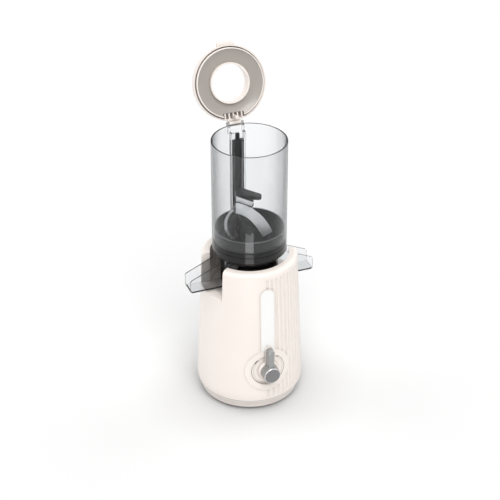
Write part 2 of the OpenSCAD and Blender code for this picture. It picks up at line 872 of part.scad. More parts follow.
module knob() {
    base = dial_face + gap + collar_t + seat;
    face = dial_face + knob_reach;
    color(silver) {
        translate([0, -base, dial_z]) rotate([90, 0, 0]) {
            rotate_extrude() polygon([[0, 0], [knob_r - 0.8, 0], [knob_r - 0.2, 1.2],
                [knob_r - 0.2, face - base - 2.5],
                for (a = [0 : 15 : 90]) [knob_r - 1.7 + 1.5 * cos(a), face - base - 2.5 + 1.5 * sin(a)],
                [0, face - base - 1]]);
            // The lever, a bar with round corners and a round end.
            hull() {
                for (s = [-1, 1]) translate([s * (lever_w / 2 - 3), knob_r - 4, 3])
                    sphere(r = 3, $fn = 32);
                translate([-lever_w / 2 + 2, knob_r - 4, 0]) cube([lever_w - 4, 2, lever_t]);
                translate([0, lever_len - lever_w / 2, 1]) cylinder(d = lever_w - 1.5, h = lever_t - 2, $fn = 32);
                translate([0, lever_len - lever_w / 2, 2]) cylinder(d = lever_w, h = lever_t - 4.5, $fn = 32);
                translate([0, lever_len - lever_w / 2 - 1, 0]) cylinder(d = lever_w - 4, h = lever_t, $fn = 32);
            }
        }
        // Spindle into the switch.
        translate([0, 0, dial_z]) {
            to_front(4 - seat, dial_face - dial_t - 4, base + 1);
            to_front(3, dial_face - boss_depth - 14, dial_face);
        }
    }
}

module knob_face() {
    face = dial_face + knob_reach;
    color([0.54, 0.54, 0.54]) translate([0, 0, dial_z])
        to_front(knob_r - 1.8, face - 1 + seat, face);
}

// Outer profile of the bowl, from its underside up to its collar.
function bowl_outer(d) = [
    [bowl_low_r - 3 + d, bowl_bottom - d],
    for (a = [15 : 15 : 90]) [bowl_low_r - 3 + (3 + d) * sin(a), bowl_bottom + 3 - (3 + d) * cos(a)],
    for (a = [0 : 10 : 90]) [bowl_low_r + d + (cup_r - bowl_low_r) * (1 - cos(a)),
        waist_z + shoulder_drop * sin(a)]];

module bowl_body(d) {
    rotate_extrude() polygon(concat([[0, bowl_bottom - d]], bowl_outer(d), [[cup_r + d, bowl_step],
        [0, bowl_step]]));
}

module rod_pocket(m) {
    translate([-rod_w / 2 - gap - m, rod_y - gap - m, waist_z - 4])
        cube([rod_w + 2 * (gap + m), rod_t + 2 * gap + 2 * m, collar_top - waist_z + 4]);
}

module bowl() {
    w = bowl_wall;
    color(smoke) difference() {
        union() {
            difference() {
                union() {
                    bowl_body(0);
                    translate([0, 0, bowl_step - 1]) cylinder(r = collar_r, h = collar_h + 1);
                }
                // Inside of the bowl, rounded like its outside.
                rotate_extrude() polygon([
                    [0, bowl_bottom + w], [bowl_low_r - w, bowl_bottom + w],
                    for (a = [0 : 10 : 90]) [bowl_low_r - w + (bowl_inner - bowl_low_r + w) * (1 - cos(a)),
                        waist_z + w + (shoulder_drop - w / 2) * sin(a)],
                    [bowl_inner, collar_top - 2], [bowl_inner + 1.2, collar_top + 1], [0, collar_top + 1]]);
                // Two fine grooves round the outside.
                for (z = [shoulder_z + 1, bowl_step - 8]) translate([0, 0, z])
                    ring(cup_r - 0.7, cup_r + 2, 1.1);
            }
            // Wall round the interlock rod.
            intersection() {
                rod_pocket(1.8);
                union() {
                    bowl_body(-0.5);
                    translate([0, 0, bowl_step - 1]) cylinder(r = collar_r - 0.2, h = collar_h + 1);
                }
                translate([0, 0, waist_z + 9]) cylinder(r = deep, h = deep);
            }
            // Sleeve round the drive shaft.
            cylinder_at(bowl_bottom, sleeve_r + w, sleeve_top - bowl_bottom);
        }
        cylinder_at(bowl_bottom - 1, sleeve_r, 60);
        rod_pocket(0);
        // Outlets to the two spouts.
        for (s = [0, 180]) rotate(s) translate([bowl_low_r - 8, -8, bowl_bottom + w + 4.5])
            cube([16, 16, 22]);
    }
}

module outlet_plug() {
    color([0.85, 0.45, 0.3]) translate([22, 0, bowl_bottom - 2.5]) cylinder(r = 8, h = 2.5 - seat);
}

// A clear open-topped chute. Its root follows the bowl, and its tip is open.
module spout() {
    w = spout_wall;
    floor_z = bowl_bottom + 5;
    tip_top = floor_z + spout_tip_h;
    root_top = floor_z + spout_root_h;
    root = bowl_low_r - 4;
    neck = cup_r - 0.5;
    side = [[root, floor_z], [spout_reach - 3, floor_z], [spout_reach, floor_z + 2],
        [spout_reach, tip_top - 2.5], [spout_reach - 2, tip_top],
        [well_r - 1, root_top], [neck, root_top + 2], [neck, shoulder_z - 4],
        [root, shoulder_z - 4]];
    color(clear) difference() {
        rotate([90, 0, 0]) translate([0, 0, -spout_w / 2]) linear_extrude(spout_w) polygon(side);
        // The channel, open at its top and tip.
        translate([root - 5, -spout_w / 2 + w, floor_z + w]) cube([100, spout_w - 2 * w, deep]);
        bowl_body(seat);
    }
}

module juice_spout() {
    rotate(180) spout();
}

module pulp_spout() {
    spout();
}

module strainer() {
    r = strainer_r;
    w = strainer_wall;
    flange = bowl_low_r - bowl_wall - gap;
    color(silver) difference() {
        rotate_extrude() polygon([[r, strainer_bottom], [flange, strainer_bottom],
            [flange, strainer_bottom + 2.5], [r + w, strainer_bottom + 2.5], [r + w, strainer_top - 14],
            [flange, strainer_top - 14], [flange, strainer_top - 11],
            [r + w + 1, strainer_top], [r, strainer_top]]);
        for (i = [0 : slit_count - 1], z = [strainer_bottom + 5, strainer_bottom + 22])
            rotate((i + 0.5) * 360 / slit_count) translate([r - 2, -0.5, z]) cube([8, 1, 13]);
    }
}

// Centre line of the screw's arm, t from 0 at its foot to 1 at its tip.
arm_foot = cone_top + 2;
arm_dir = [-0.66, 0, 0.75];
arm_out = [0.32, -0.85, 0.42];
arm_side = cross(arm_dir, arm_out);
function arm_point(t) = [31 - 50 * t, -10 - 20 * t * (1 - t), arm_foot + (arm_top - 10 - arm_foot) * t];
function arm_ring(t, out, thick, half) = let (p = arm_point(t) + arm_out * out)
    [p - arm_side * half, p + arm_side * half,
     p + arm_side * half - arm_out * thick, p - arm_side * half - arm_out * thick];

// The upper leaf of the cutter.
leaf_at = [-20.5, -8, arm_top - 12];
leaf_turn = -26;
leaf_len = 31;

// The wing, a low blade that winds in and up from the rim of the screw.
wing_z = cone_top - 8;
wing_rise = 22;
function wing_point(t, d) = let (q = polar(46.5 - 12 * t - d, 236 - 100 * t))
    [q[0], q[1], wing_z + wing_rise * t];
function wing_ring(t, d, thick, h) = [
    wing_point(t, d), wing_point(t, d) + [0, 0, h],
    wing_point(t, d + thick) + [0, 0, h], wing_point(t, d + thick)];

function circle_ring(c, r, z) = [for (a = [0 : 15 : 345]) [c[0] + r * cos(a), c[1] + r * sin(a), z]];

module screw() {
    rib_h = strainer_top - screw_bottom - 3;
    color(smoke) rotate(screw_turn) difference() {
        union() {
            rotate_extrude() polygon([[0, screw_bottom], [core_r - 1, screw_bottom],
                [core_r, screw_bottom + 1], [core_r, strainer_top - 12], [core_r + 4, strainer_top + 2],
                [core_r + 3, strainer_top + 8], [24, cone_top - 8], [18, cone_top + 8], [0, cone_top + 8]]);
            // Pressing ribs, inside the strainer.
            translate([0, 0, screw_bottom + 1]) linear_extrude(rib_h, twist = 150, slices = 20, $fn = 8)
                for (i = [0 : rib_count - 1]) rotate(i * 360 / rib_count)
                    polygon([[core_r - 3, -3.2], [rib_r, -1.1], [rib_r, 1.1], [core_r - 3, 3.2]]);
            // The leaning column and the cap over its top.
            loft([circle_ring([0, 0], 24, cone_top - 9), circle_ring([0, 0], 17.5, cone_top + 8),
                circle_ring([-4, 2], 13.5, cone_top + 26), circle_ring([-9, 6], 11, cone_top + 44),
                circle_ring([-13, 5.5], 9.5, arm_top)]);
            hull() {
                translate([-14, 4, arm_top - 1]) cylinder(r = 9, h = 9, $fn = 32);
                translate([13, -10, arm_top + 2]) cylinder(r = 6, h = 6, $fn = 32);
            }
            // The arm behind the cutter, and the low wing.
            loft([for (k = [0 : 8]) arm_ring(k / 8, 0, 12, 8.5)]);
            loft([for (k = [0 : 10]) wing_ring(k / 10, 0, 18, 12)]);
        }
        // Flat seat behind the cutter's upper leaf.
        translate(leaf_at - [0, 0, seat]) rotate(leaf_turn) translate([-10, -20, 0])
            cube([leaf_len + 20, 21.6 + seat, 30]);
        cylinder_at(screw_bottom - 1, hollow_r, hollow_top - screw_bottom + 1);
        cylinder_at(hollow_top - 1, socket_r + seat, socket_h + 1);
    }
}

module screw_socket() {
    color(silver) rotate(screw_turn) difference() {
        cylinder_at(hollow_top, socket_r, socket_h - 1);
        translate([0, 0, hollow_top - 1]) cylinder(r = (hex_af / 2 + 0.15) / cos(30), h = 60, $fn = 6);
    }
}

module cutter_blade() {
    color(silver) rotate(screw_turn) {
        loft([for (k = [0 : 8]) arm_ring(k / 8, 1.8 + seat, 1.8, 9.5)]);
        // The upper leaf, along the front of the cap.
        translate(leaf_at) rotate(leaf_turn) cube([leaf_len, 1.6, 12]);
    }
}

module wing_blade() {
    color(silver) rotate(screw_turn)
        loft([for (k = [0 : 10]) [
            for (p = wing_ring(k / 10, 0, 5, 1.5)) p + [0, 0, 12 + gap]]]);
}

module cup_gasket() {
    color(dark) translate([0, 0, bowl_step + seat]) ring(collar_r + seat, cup_r - 0.4, gasket_h);
}

module ear(x) {
    translate([x, 0, 0]) {
        translate([0, hinge_y, hinge_z]) rotate([0, 90, 0]) cylinder(r = knuckle_r, h = ear_t);
        translate([0, cup_r - 2, hinge_z - 14]) cube([ear_t, 4, 14]);
        translate([0, cup_r + gap, hinge_z - knuckle_r]) cube([ear_t, hinge_gap - gap, 2 * knuckle_r]);
    }
}

module cup() {
    h = cup_top - cup_bottom;
    inside = rail_x + rail_t;
    color(clear) difference() {
        union() {
            difference() {
                translate([0, 0, cup_bottom]) cylinder(r = cup_r, h = h);
                translate([0, 0, cup_bottom - 1]) cylinder(r = cup_inner, h = h + 2);
            }
            // Rails that hold the interlock rod.
            intersection() {
                for (s = [-1, 1]) scale([s, 1, 1]) {
                    translate([rail_x, rod_y - gap - rail_t, collar_top + 1])
                        cube([rail_t, 20, rail_top - collar_top - 1]);
                    translate([rail_x - 3.5, rod_y - gap - rail_t, collar_top + 1])
                        cube([3.5 + rail_t, rail_t, rail_top - collar_top - 1]);
                }
                cylinder(r = cup_inner + 1, h = deep + 100);
            }
            for (s = [-1, 1]) ear(s > 0 ? knuckle_w / 2 + gap : -knuckle_w / 2 - gap - ear_t);
        }
        translate([-40, hinge_y, hinge_z]) rotate([0, 90, 0]) cylinder(r = pin_r + seat / 2, h = 80);
    }
}

module interlock_rod() {
    color(dark) difference() {
        union() {
            translate([-rod_w / 2, rod_y, rod_bottom]) cube([rod_w, rod_t, rod_top - rod_bottom]);
            translate([-3, rod_y, rod_top - 1]) cube([6, rod_t, nub_top - rod_top + 1]);
        }
        // A shallow groove along its face.
        translate([-4, rod_y - 1, bowl_step + 40]) cube([8, 2, 80]);
    }
}

// Carries what is drawn on the closed lid to its place when open.
module opened() {
    translate([0, hinge_y, hinge_z]) rotate([-lid_open, 0, 0]) translate([0, -hinge_y, -hinge_z])
        children();
}

module lid_shell() {
    u = lid_under;
    tab_w = 28;
    color(cream) opened() difference() {
        union() {
            // Domed ring, open underneath.
            rotate_extrude() polygon([
                [lid_hole_r, u - 2],
                [lid_hole_r, u + lid_h - 1.5], [lid_hole_r + 1.5, u + lid_h],
                for (a = [0 : 9 : 90]) [lid_hole_r + 3 + (lid_r - lid_hole_r - 3) * sin(a),
                    u + 7 + (lid_h - 7) * cos(a)],
                [lid_r, u], [lid_r - 2.5, u],
                for (a = [90 : -9 : 0]) [lid_hole_r + 2.5 + (lid_r - lid_hole_r - 5) * sin(a),
                    u + 6.5 + (lid_h - 9) * cos(a)],
                [lid_hole_r + 2.5, u - 2]]);
            // Finger tab at the front.
            intersection() {
                translate([-tab_w / 2, -lid_r - 6, u + 1]) cube([tab_w, 12, 5]);
                difference() {
                    cylinder(r = lid_r + 5, h = 2 * deep);
                    cylinder(r = lid_r - 1.5, h = 2 * deep);
                }
            }
            // Hinge knuckle and its arm.
            translate([-knuckle_w / 2, hinge_y, hinge_z]) rotate([0, 90, 0])
                cylinder(r = knuckle_r, h = knuckle_w);
            translate([-knuckle_w / 2, cup_r + gap + 0.4, hinge_z]) cube([knuckle_w, 5, u + 6 - hinge_z]);
            translate([-knuckle_w / 2, lid_r - 4, u + gap]) cube([knuckle_w, hinge_gap + 4, 6]);
            // Ribs behind the hinge.
            for (x = [-14, -7, 0, 7, 14]) translate([x - 1.2, liner_cut_y + gap, u + 0.5])
                cube([2.4, lid_r - 1.5 - liner_cut_y - gap, 6]);
            // Finger that pushes the interlock rod.
            translate([-2.5, rod_y - 0.5, nub_top - rod_travel + gap])
                cube([5, rod_t, u + 7 - (nub_top - rod_travel)]);
        }
        translate([-40, hinge_y, hinge_z]) rotate([0, 90, 0]) cylinder(r = pin_r + run_gap, h = 80);
    }
}

// The dish under the lid: a flat ring with a lip that enters the cup.
module lid_liner() {
    u = lid_under;
    outer = cup_inner - 0.8;
    hole = lid_hole_r + 2.5 + seat;
    color(beige) opened() difference() {
        rotate_extrude() polygon([
            [hole, u - 1], [hole + 1.5, u - 1], [hole + 2, u + 3],
            [outer - 3, u + 3], [outer - 2.2, u - 4], [outer, u - 4],
            [outer, u + 4.6], [hole, u + 4.6]]);
        // Cut back round the hinge and the rod's rails.
        translate([-17, liner_cut_y, u - 20]) cube([34, 40, 40]);
    }
}

module hinge_pin() {
    len = knuckle_w + 2 * ear_t + 2 * gap;
    color(silver) translate([-len / 2, hinge_y, hinge_z]) rotate([0, 90, 0])
        cylinder(r = pin_r, h = len);
}

housing();
panel_strip();
dial_plate();
base_cover();
feet();
base_screws();
cord_gland();
switch_body();
control_board();
motor_can();
motor_end_cap();
motor_magnets();
motor_screws();
rotor_shaft();
armature();
commutator();
motor_bearings();
cooling_fan();
motor_pinion();
gearbox_plate();
gearbox_cover();
gearbox_screws();
idler_pin();
idler_gear();
output_gear();
drive_shaft();
shaft_bearings();
shaft_seal();
microswitch();
switch_plunger();
knob_collar();
knob();
knob_face();
bowl();
outlet_plug();
juice_spout();
pulp_spout();
strainer();
screw();
screw_socket();
cutter_blade();
wing_blade();
cup_gasket();
cup();
interlock_rod();
lid_shell();
lid_liner();
hinge_pin();
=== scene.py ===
"""Looks of a slow juicer with a wide feed cup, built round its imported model."""

import json
import math

import bpy
from bpy.props import FloatProperty, FloatVectorProperty, PointerProperty
from mathutils import Matrix, Vector


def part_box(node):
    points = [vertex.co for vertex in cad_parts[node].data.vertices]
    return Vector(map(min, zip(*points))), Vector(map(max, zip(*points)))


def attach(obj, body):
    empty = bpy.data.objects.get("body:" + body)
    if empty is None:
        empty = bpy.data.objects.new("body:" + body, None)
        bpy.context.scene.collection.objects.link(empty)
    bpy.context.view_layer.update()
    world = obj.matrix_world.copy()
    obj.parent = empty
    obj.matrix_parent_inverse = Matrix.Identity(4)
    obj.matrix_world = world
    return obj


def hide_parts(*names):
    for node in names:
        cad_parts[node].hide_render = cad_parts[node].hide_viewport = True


bl_info = {
    "name": "Slow Juicer",
    "version": (1, 0, 0),
    "blender": (4, 5, 0),
    "location": "View3D > Sidebar > Juicer",
    "description": "Dresses a slow juicer with its finishes, fine pieces and a studio",
    "category": "Object",
}

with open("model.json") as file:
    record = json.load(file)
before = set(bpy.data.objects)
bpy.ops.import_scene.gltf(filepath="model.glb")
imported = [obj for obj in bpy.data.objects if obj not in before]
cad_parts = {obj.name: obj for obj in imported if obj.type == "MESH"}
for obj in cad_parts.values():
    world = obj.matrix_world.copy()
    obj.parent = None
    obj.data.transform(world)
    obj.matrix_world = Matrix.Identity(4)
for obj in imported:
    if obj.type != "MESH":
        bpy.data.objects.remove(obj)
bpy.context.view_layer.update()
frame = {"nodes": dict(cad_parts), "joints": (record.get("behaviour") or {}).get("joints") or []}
CAD = frame["nodes"]
MM = 0.001
EDGE_SAMPLES = 6
FOOT_HEIGHT = 22 * MM
MERGE_WITHIN = 0.01 * MM
SMOOTH_BELOW = math.radians(35.0)
ROUND_ABOVE = math.radians(40.0)


def hex_colour(code):
    """Linear colour of a hex code such as f4eae4."""
    parts = [int(code[i:i + 2], 16) / 255 for i in (0, 2, 4)]
    return [p / 12.92 if p <= 0.04045 else ((p + 0.055) / 1.055) ** 2.4 for p in parts]


def opaque(colour):
    return (colour[0], colour[1], colour[2], 1.0)


def shade(colour, by):
    """The colour made darker or lighter by a factor."""
    return [min(1.0, c * by) for c in colour]


class Wire:
    """A socket of a node tree, with arithmetic that adds Math nodes."""

    def __init__(self, nodes, socket):
        self.nodes = nodes
        self.socket = socket

    def maths(self, operation, first, second):
        return self.nodes.node("ShaderNodeMath", {"operation": operation}, {0: first, 1: second})

    def __add__(self, other):
        return self.maths("ADD", self, other)

    def __radd__(self, other):
        return self.maths("ADD", other, self)

    def __sub__(self, other):
        return self.maths("SUBTRACT", self, other)

    def __rsub__(self, other):
        return self.maths("SUBTRACT", other, self)

    def __mul__(self, other):
        return self.maths("MULTIPLY", self, other)

    def __rmul__(self, other):
        return self.maths("MULTIPLY", other, self)

    def __pow__(self, other):
        return self.maths("POWER", self, other)

    def over(self, limit):
        return self.maths("GREATER_THAN", self, limit)

    def largest(self, other):
        return self.maths("MAXIMUM", self, other)


class Nodes:
    """A node tree of a material or the world."""

    def __init__(self, tree):
        self.tree = tree

    def add(self, kind, settings=None, inputs=None):
        """Adds a node, sets it, then feeds its sockets with values or wires."""
        made = self.tree.nodes.new(kind)
        for key, value in (settings or {}).items():
            setattr(made, key, value)
        for key, value in (inputs or {}).items():
            self.feed(made.inputs[key], value)
        return made

    def node(self, kind, settings=None, inputs=None, output=0):
        """Adds a node and returns one of its outputs."""
        return Wire(self, self.add(kind, settings, inputs).outputs[output])

    def feed(self, socket, value):
        if isinstance(value, Wire):
            self.tree.links.new(value.socket, socket)
        else:
            socket.default_value = value

    def seen_directly(self):
        """1 for what the eye, the gloss or clear plastic shows, and 0 for light on things."""
        camera, glossy, transmission = [
            self.node("ShaderNodeLightPath", output=name)
            for name in ("Is Camera Ray", "Is Glossy Ray", "Is Transmission Ray")]
        return camera.largest(glossy).largest(transmission)


class Finish(Nodes):
    """One procedural material with a Principled shader."""

    def __init__(self, name):
        self.material = bpy.data.materials.new(name)
        self.material.use_nodes = True
        super().__init__(self.material.node_tree)
        self.tree.nodes.clear()
        self.output = self.add("ShaderNodeOutputMaterial")
        self.shader = self.add("ShaderNodeBsdfPrincipled")
        self.show(Wire(self, self.shader.outputs[0]))

    def show(self, shader):
        self.feed(self.output.inputs["Surface"], shader)

    def set(self, **values):
        """Feeds the shader's sockets. An underscore in a name stands for a space."""
        for key, value in values.items():
            self.feed(self.shader.inputs[key.replace("_", " ")], value)

    def coords(self, stretch=(1.0, 1.0, 1.0)):
        """Object coordinates, stretched where a pattern runs along an axis."""
        place = self.node("ShaderNodeTexCoord", output="Object")
        return self.node("ShaderNodeMapping", None, {"Vector": place, "Scale": stretch})

    def noise(self, scale, detail=2.0, stretch=(1.0, 1.0, 1.0)):
        return self.node("ShaderNodeTexNoise", None, {
            "Vector": self.coords(stretch), "Scale": scale, "Detail": detail})

    def between(self, first, second, factor):
        """A colour between two, by a factor that may vary."""
        # The Mix node's sockets share their names, so the ones for colours go by number.
        first_colour, second_colour, mixed_colour = 6, 7, 2
        return self.node("ShaderNodeMix", {"data_type": "RGBA"}, {
            "Factor": factor, first_colour: first, second_colour: second}, output=mixed_colour)

    def edge_on(self):
        """0 where the surface faces the eye and 1 where it is seen edge-on."""
        return self.node("ShaderNodeLayerWeight", None, {"Blend": 0.5}, output="Facing")

    def mix_dull(self, colour, share):
        """Mixes a dull shader of that colour in, by a share that may vary."""
        dull = self.node("ShaderNodeBsdfPrincipled", None, {
            "Base Color": colour, "Roughness": 0.6, "Specular IOR Level": 0.1})
        self.show(self.node("ShaderNodeMixShader", None, {
            0: share, 1: Wire(self, self.shader.outputs[0]), 2: dull}))

    def occlusion_for_painted_shade(self, reach):
        """A mask for painted shade: 1 where the surface lies open and less in grooves and seams
        narrower than the reach.
        """
        return self.node("ShaderNodeAmbientOcclusion", {"samples": EDGE_SAMPLES}, {
            "Distance": reach}, output="AO")

    def relief(self, height, depth, edge=0.0):
        """A bump of that depth in metres, over edges rounded to the given radius."""
        inputs = {"Height": height, "Distance": depth, "Strength": 1.0}
        if edge > 0:
            inputs["Normal"] = self.node("ShaderNodeBevel", {"samples": EDGE_SAMPLES}, {
                "Radius": edge})
        return self.node("ShaderNodeBump", None, inputs)


def moulded(name, colour, rough, grain=700.0, depth=0.004 * MM, edge=0.7 * MM, drift=0.97):
    """Moulded plastic: a fine grain, a slow drift of tone and slightly uneven gloss."""
    finish = Finish(name)
    slow = finish.noise(9.0, 3.0)
    fine = finish.noise(grain)
    finish.set(
        Base_Color=finish.between(opaque(colour), opaque(shade(colour, drift)), slow),
        Roughness=rough + (slow - 0.5) * 0.08,
        Normal=finish.relief(fine, depth, edge))
    return finish


def metal(name, colour, rough, edge=0.3 * MM):
    """Metal with fine lines round the upright axis."""
    finish = Finish(name)
    lines = finish.noise(260.0, 3.0, (1.0, 1.0, 30.0))
    slow = finish.noise(25.0)
    finish.set(
        Base_Color=finish.between(opaque(shade(colour, 0.9)), opaque(colour), lines),
        Metallic=1.0,
        Roughness=rough + (lines - 0.5) * 0.12 + (slow - 0.5) * 0.06,
        Normal=finish.relief(lines, 0.004 * MM, edge))
    return finish


def glossy_cream(name, colours, foot):
    """Glossy cream plastic with painted shade in its grooves and seams, below the foot's height and
    in a line at that height.
    """
    finish = moulded(name, colours.cream, 0.36)
    # Painted shade: occlusion darkens the cream in its grooves and seams.
    painted_shade_colour = opaque(shade(colours.cream, 0.45))
    groove_width = 5.0 * MM
    tone = finish.between(painted_shade_colour, opaque(colours.cream), finish.occlusion_for_painted_shade(groove_width))
    if foot:
        # Painted shade below the foot's height, where the body turns under, and a darker painted
        # shade line at that height.
        seam_low, seam_high = foot - 0.4 * MM, foot + 0.6 * MM
        foot_shade_share, seam_shade_share = 0.16, 0.75
        height = finish.node("ShaderNodeSeparateXYZ", None, {0: finish.coords()}, output="Z")
        low = 1.0 - height.over(foot)
        seam = height.over(seam_low) * (1.0 - height.over(seam_high))
        tone = finish.between(tone, painted_shade_colour, low * foot_shade_share + seam * seam_shade_share)
    finish.set(Base_Color=tone, Coat_Weight=0.3, Coat_Roughness=0.2)
    return finish


def cream_plastic(colours):
    return glossy_cream("cream_plastic", colours, 0.0)


def cream_body(colours):
    """The body's cream, in shade where its foot turns under."""
    return glossy_cream("cream_body", colours, FOOT_HEIGHT)


def white_inlay(colours):
    return moulded("white_inlay", colours.inlay, 0.3, edge=0.3 * MM, drift=0.985)


def silver_coat(colours):
    """Satin silver paint with fine flakes."""
    finish = Finish("silver_coat")
    flakes = finish.noise(3200.0, 1.0)
    slow = finish.noise(20.0)
    finish.set(
        Base_Color=finish.between(
            opaque(shade(colours.silver, 0.93)), opaque(colours.silver), flakes),
        Metallic=0.7,
        Roughness=0.3 + (slow - 0.5) * 0.08,
        Normal=finish.relief(flakes, 0.002 * MM, 0.6 * MM))
    return finish


def knob_face_grey(colours):
    return moulded("knob_face_grey", colours.knob_face, 0.5, edge=0.3 * MM)


def clear_plastic(colours):
    """Clear, slightly smoked plastic with painted shade where it is seen edge-on, and a faint
    ripple.
    """
    finish = Finish("clear_plastic")
    ripple = finish.noise(14.0, 1.0)
    scuffs = finish.noise(60.0, 4.0)
    finish.set(
        # Painted shade: the colour darkens where the wall is seen edge-on.
        Base_Color=finish.between(
            opaque(colours.clear), opaque(colours.clear_edge_shade), finish.edge_on() ** 1.5),
        Roughness=0.015 + scuffs * 0.02,
        IOR=1.36,
        Transmission_Weight=1.0,
        Normal=finish.relief(ripple, 0.02 * MM, 0.5 * MM))
    # Painted shade: a dark, dull share mixed in where the wall is seen edge-on.
    finish.mix_dull(opaque(shade(colours.clear_edge_shade, 0.25)), 0.85 * finish.edge_on() ** 4.0)
    return finish


def smoked_plastic(colours):
    """Dark smoked plastic that lets a little light through."""
    finish = Finish("smoked_plastic")
    slow = finish.noise(12.0)
    finish.set(
        Base_Color=finish.between(opaque(shade(colours.smoke, 0.9)), opaque(colours.smoke), slow),
        Roughness=0.04 + slow * 0.04,
        IOR=1.42,
        Transmission_Weight=0.8,
        Normal=finish.relief(slow, 0.02 * MM, 0.6 * MM))
    return finish


def bead_painted_highlight(colours):
    """The smoked plastic's rim bead, painted a light grey as a highlight that runs round it."""
    finish = moulded("bead_painted_highlight", shade(colours.silver, 0.5), 0.15)
    finish.set(Coat_Weight=0.5)
    return finish


def dark_plastic(colours):
    return moulded("dark_plastic", colours.dark, 0.42, edge=0.8 * MM)


def beige_plastic(colours):
    # Painted shade: the dish's grey-beige stands for the shade on the lid's underside.
    finish = moulded("beige_plastic", colours.beige, 0.35, edge=0.5 * MM)
    finish.set(Coat_Weight=0.6, Coat_Roughness=0.15)
    return finish


def rim_painted_highlight(colours):
    # Painted highlight: the ring's steel is made brighter than steel.
    return metal("rim_painted_highlight", shade(colours.steel, 1.4), 0.2, edge=0.1 * MM)


def black_rubber(colours):
    return moulded("black_rubber", colours.rubber, 0.75, grain=400.0, depth=0.02 * MM)


def silicone(colours):
    return moulded("silicone", colours.silicone, 0.6, grain=300.0)


def black_moulding(colours):
    return moulded("black_moulding", colours.rubber, 0.5)


def red_moulding(colours):
    return moulded("red_moulding", colours.red, 0.4)


def nylon(colours):
    return moulded("nylon", colours.nylon, 0.45, edge=0.3 * MM, drift=0.93)


def steel(colours):
    return metal("steel", colours.steel, 0.24)


def blade_steel(colours):
    """Satin steel of the blades, with lines along them and light and dark painted reflections, the
    light ones brighter than the steel.
    """
    finish = Finish("blade_steel")
    lines = finish.noise(180.0, 3.0, (1.0, 1.0, 8.0))
    painted_reflection_patches = finish.noise(70.0)
    finish.set(
        # Painted reflections: light and dark areas, the light ones brighter than the steel.
        Base_Color=finish.between(
            opaque(shade(colours.steel, 0.85)), opaque(shade(colours.steel, 1.5)), painted_reflection_patches),
        Metallic=0.35,
        Roughness=0.3 + lines * 0.15,
        Normal=finish.relief(painted_reflection_patches, 0.3 * MM, 0.3 * MM))
    return finish


def fastener_steel(colours):
    return metal("fastener_steel", shade(colours.steel, 0.85), 0.35)


def plated_sheet(colours):
    """Zinc plate, with its large pale and dark grains."""
    finish = Finish("plated_sheet")
    grains = finish.node("ShaderNodeTexVoronoi", None, {
        "Vector": finish.coords(), "Scale": 120.0}, output="Color")
    fine = finish.noise(500.0)
    finish.set(
        Base_Color=finish.between(
            opaque(shade(colours.steel, 0.7)), opaque(shade(colours.steel, 0.85)), grains),
        Metallic=1.0,
        Roughness=0.4 + (fine - 0.5) * 0.1,
        Normal=finish.relief(fine, 0.004 * MM, 0.4 * MM))
    return finish


def cast_metal(colours):
    """Die-cast metal with a matt, pebbled skin."""
    finish = Finish("cast_metal")
    pebbles = finish.noise(900.0, 4.0)
    finish.set(
        Base_Color=finish.between(
            opaque(shade(colours.steel, 0.72)), opaque(shade(colours.steel, 0.82)), pebbles),
        Metallic=0.9,
        Roughness=0.5 + (pebbles - 0.5) * 0.2,
        Normal=finish.relief(pebbles, 0.03 * MM, 0.6 * MM))
    return finish


def ferrite(colours):
    return moulded("ferrite", shade(colours.dark, 0.8), 0.65, grain=1200.0, depth=0.02 * MM)


def copper(colours):
    return metal("copper", colours.copper, 0.3)


def windings(colours):
    """Varnished wire: fine copper turns round a dark core."""
    finish = Finish("windings")
    turns = finish.node("ShaderNodeTexWave", {"bands_direction": "Z"}, {
        "Vector": finish.coords(), "Scale": 250.0, "Distortion": 2.0}, output="Fac")
    finish.set(
        Base_Color=finish.between(
            opaque(shade(colours.copper, 0.35)), opaque(colours.copper), turns),
        Metallic=0.6,
        Roughness=0.35 + turns * 0.15,
        Normal=finish.relief(turns, 0.15 * MM))
    return finish


def circuit_board(colours):
    """Green board with the paler lines of its tracks."""
    finish = Finish("circuit_board")
    tracks = finish.node("ShaderNodeTexBrick", None, {
        "Vector": finish.coords(), "Scale": 160.0, "Mortar Size": 0.06}, output="Fac")
    finish.set(
        Base_Color=finish.between(
            opaque(colours.board), opaque(shade(colours.board, 2.2)), tracks),
        Roughness=0.35 + tracks * 0.2,
        Normal=finish.relief(tracks, 0.03 * MM))
    return finish


def ink_and_gap_shadow(colours):
    """Dark printed ink, too thin to have a round edge; its colour also paints the shadow in the
    dial's gap.
    """
    return moulded("ink_and_gap_shadow", colours.ink, 0.5, edge=0.0001 * MM)


# Which CAD nodes take which finish.
FINISH_OF = {
    cream_body: ["housing", "base_cover"],
    cream_plastic: ["dial_plate", "knob_collar", "lid_shell"],
    white_inlay: ["panel_strip"],
    silver_coat: ["knob"],
    knob_face_grey: ["knob_face"],
    clear_plastic: ["cup", "juice_spout", "pulp_spout"],
    smoked_plastic: ["bowl"],
    dark_plastic: ["screw", "interlock_rod"],
    beige_plastic: ["lid_liner"],
    black_rubber: ["feet", "cord_gland", "cup_gasket", "shaft_seal"],
    silicone: ["outlet_plug"],
    steel: ["strainer", "cutter_blade", "wing_blade", "screw_socket", "drive_shaft", "rotor_shaft",
            "hinge_pin", "idler_pin", "motor_bearings", "shaft_bearings", "motor_pinion"],
    fastener_steel: ["base_screws", "motor_screws", "gearbox_screws"],
    plated_sheet: ["motor_can"],
    cast_metal: ["gearbox_plate", "gearbox_cover"],
    ferrite: ["motor_magnets"],
    windings: ["armature"],
    copper: ["commutator"],
    nylon: ["idler_gear", "output_gear", "cooling_fan"],
    circuit_board: ["control_board"],
    black_moulding: ["switch_body", "microswitch", "motor_end_cap"],
    red_moulding: ["switch_plunger"],
}


def colour_property(words, code):
    return FloatVectorProperty(name=words, description=f"Colour of the {words.lower()}",
                               subtype="COLOR", min=0.0, max=1.0, default=hex_colour(code))


